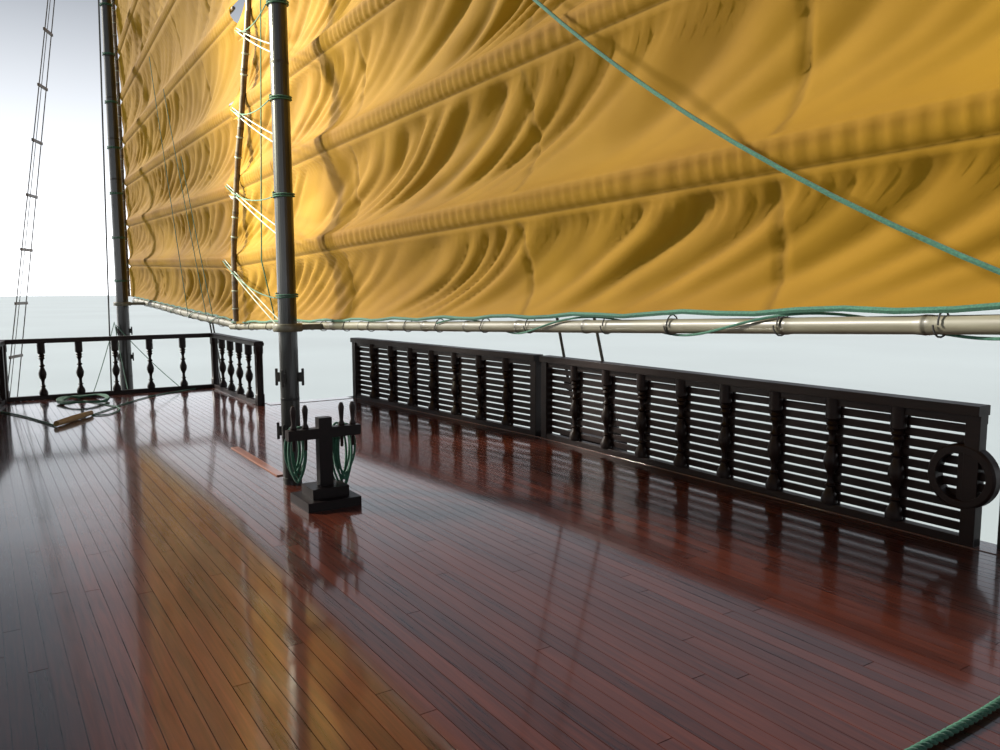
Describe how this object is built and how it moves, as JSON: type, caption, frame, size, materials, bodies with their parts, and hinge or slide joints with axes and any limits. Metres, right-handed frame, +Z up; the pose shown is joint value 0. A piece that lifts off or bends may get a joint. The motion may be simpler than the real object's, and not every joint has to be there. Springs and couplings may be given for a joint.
{
  "type": "chinese junk ship",
  "caption": "Wooden junk with ochre batten sails, railed sundeck over a hollow deckhouse, high stern, rudder and propellers.",
  "frame": {"origin": "at the waterline, on the centreline, midway between the hull's ends at deck level", "axes": "+X runs to the bow, +Y to port, +Z up"},
  "size_m": [29.8885, 6.406, 15.65],
  "materials": {
    "hull_wood": "oiled planks, satin",
    "deck_wood": "red varnished planks, high gloss",
    "dark_wood": "near-black varnish, satin",
    "house_wood": "brown varnish, semi-gloss",
    "mast_wood": "dark grey-brown paint, glossy",
    "bamboo": "pale bamboo, satin",
    "dark_bamboo": "weathered bamboo",
    "sail_cloth": "ochre cotton canvas",
    "rope": "tarred rope",
    "iron": "black paint",
    "bronze": "dull bronze"
  },
  "bodies": {
    "ship": {"hull": "hull_wood", "keel": "hull_wood", "bulwark_port": "hull_wood", "bulwark_starboard": "hull_wood", "rub_rail_port": "dark_wood", "rub_rail_starboard": "dark_wood", "bow_head": "hull_wood", "stern_board": "hull_wood", "house_wall_port": "house_wood", "house_wall_starboard": "house_wood", "house_front": "house_wood", "house_back": "house_wood", "sundeck": "deck_wood", "front_rail": "dark_wood", "rail_port_fore": "dark_wood", "rail_port_mid": "dark_wood", "rail_port_aft": "dark_wood", "rail_starboard_fore": "dark_wood", "rail_starboard_mid": "dark_wood", "rail_starboard_waist": "dark_wood", "rail_starboard_aft": "dark_wood", "rail_stern": "dark_wood", "overhang_post_port": "dark_wood", "overhang_post_starboard": "dark_wood", "stern_post_port": "dark_wood", "stern_post_starboard": "dark_wood", "stair": "house_wood", "foremast": "mast_wood", "mainmast": "mast_wood", "fore_shroud_port": "rope", "fore_shroud_starboard": "rope", "main_shroud_port": "rope", "main_shroud_starboard": "rope", "forestay": "rope", "triatic_stay": "rope", "pin_rail": "dark_wood", "windlass_frame": "dark_wood", "anchor_port": "iron", "anchor_starboard": "iron", "gudgeon_lower": "bronze", "gudgeon_upper": "bronze", "shaft_port": "bronze", "shaft_starboard": "bronze", "helm_stand": "house_wood"},
    "fore_sail_set": {"fore_sail": "sail_cloth", "fore_boom": "bamboo", "fore_yard": "dark_bamboo", "fore_battens": "dark_bamboo"},
    "main_sail_set": {"main_sail": "sail_cloth", "main_boom": "bamboo", "main_yard": "dark_bamboo", "main_battens": "dark_bamboo"},
    "rudder": {"rudder": "hull_wood"},
    "helm_wheel": {"helm_wheel": "house_wood"},
    "propeller_port": {"propeller_port": "bronze"},
    "propeller_starboard": {"propeller_starboard": "bronze"},
    "windlass_barrel": {"windlass_barrel": "house_wood"},
    "door_front": {"door_front": "house_wood"},
    "door_back": {"door_back": "house_wood"}
  },
  "joints": [
    {"name": "fore_sail_swing", "type": "hinge", "parent": "ship", "child": "fore_sail_set", "pos_m": [10.33, 0, 4.8], "axis": [0, 0, 1], "range_deg": [-25, 35]},
    {"name": "main_sail_swing", "type": "hinge", "parent": "ship", "child": "main_sail_set", "pos_m": [3.56, 0, 4.8], "axis": [0, 0, 1], "range_deg": [-45, 45]},
    {"name": "rudder_turn", "type": "hinge", "parent": "ship", "child": "rudder", "pos_m": [-14.19, 0, 1.3], "axis": [-0.2425, 0, 0.9701], "range_deg": [-35, 35]},
    {"name": "helm_turn", "type": "hinge", "parent": "ship", "child": "helm_wheel", "pos_m": [6.45, -0.3, 2.45], "axis": [1, 0, 0], "range_deg": [-540, 540]},
    {"name": "propeller_port_spin", "type": "hinge", "parent": "ship", "child": "propeller_port", "pos_m": [-11.8, 1.1, -0.8], "axis": [1, 0, 0], "continuous": true},
    {"name": "propeller_starboard_spin", "type": "hinge", "parent": "ship", "child": "propeller_starboard", "pos_m": [-11.8, -1.1, -0.8], "axis": [1, 0, 0], "continuous": true},
    {"name": "windlass_turn", "type": "hinge", "parent": "ship", "child": "windlass_barrel", "pos_m": [11.7, 0, 2.0921], "axis": [0, 1, 0], "continuous": true},
    {"name": "door_front_swing", "type": "hinge", "parent": "ship", "child": "door_front", "pos_m": [7.1143, 1.4, 2.3], "axis": [0, 0, 1], "range_deg": [0, 100]},
    {"name": "door_back_swing", "type": "hinge", "parent": "ship", "child": "door_back", "pos_m": [-9.0143, 0.4, 2.3], "axis": [0, 0, -1], "range_deg": [0, 100]}
  ],
  "couplings": [
    {"joint": "helm_turn", "follows": "rudder_turn", "ratio": 15}
  ]
}
